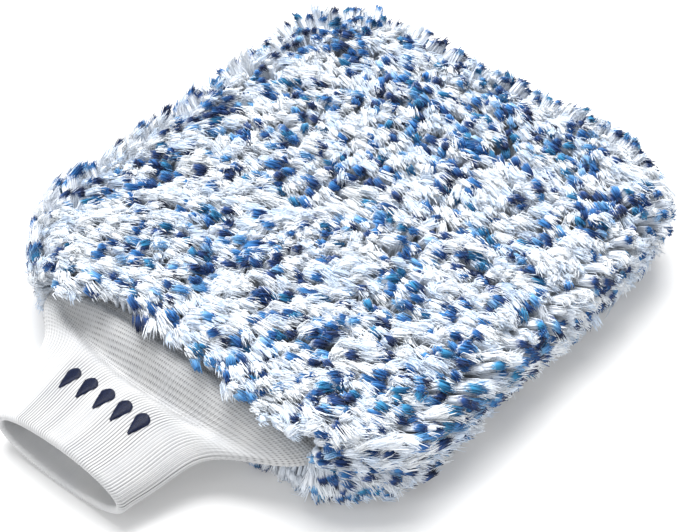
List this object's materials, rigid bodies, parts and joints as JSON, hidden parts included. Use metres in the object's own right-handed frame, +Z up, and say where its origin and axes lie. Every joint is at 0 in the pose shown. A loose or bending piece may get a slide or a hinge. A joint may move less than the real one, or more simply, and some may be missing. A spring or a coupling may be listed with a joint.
{
  "type": "wash mitt",
  "caption": "Soft car wash mitt with deep plush pile on both faces, a padded and lined hand pocket, and a folded rib-knit cuff that bends at its sewn edge.",
  "frame": {"origin": "on the resting plane, under the middle of the overall length and width", "axes": "+X from the cuff towards the fingertip end, +Y across the mitt, +Z up out of the upper pile"},
  "size_m": [0.266, 0.2, 0.048],
  "materials": {
    "pile": "deep white microfibre pile with blue, royal and navy tips",
    "ground_cloth": "fine white knit",
    "foam": "open-cell foam",
    "lining": "smooth white tricot",
    "sewing_thread": "white polyester thread",
    "rib_knit": "white rib knit",
    "embroidery": "navy satin stitch"
  },
  "bodies": {
    "mitt": {"top_pile": "pile", "bottom_pile": "pile", "top_backing": "ground_cloth", "bottom_backing": "ground_cloth", "top_foam": "foam", "bottom_foam": "foam", "top_liner": "lining", "bottom_liner": "lining", "shell_seam": "sewing_thread", "liner_seam": "sewing_thread", "cuff_seam": "sewing_thread"},
    "cuff": {"rib_cuff": "rib_knit", "embroidered_mark": "embroidery"}
  },
  "joints": [
    {"name": "cuff_bend", "type": "hinge", "parent": "mitt", "child": "cuff", "pos_m": [-0.076, 0, 0.023], "axis": [0, 1, 0], "range_deg": [-20, 45]}
  ]
}
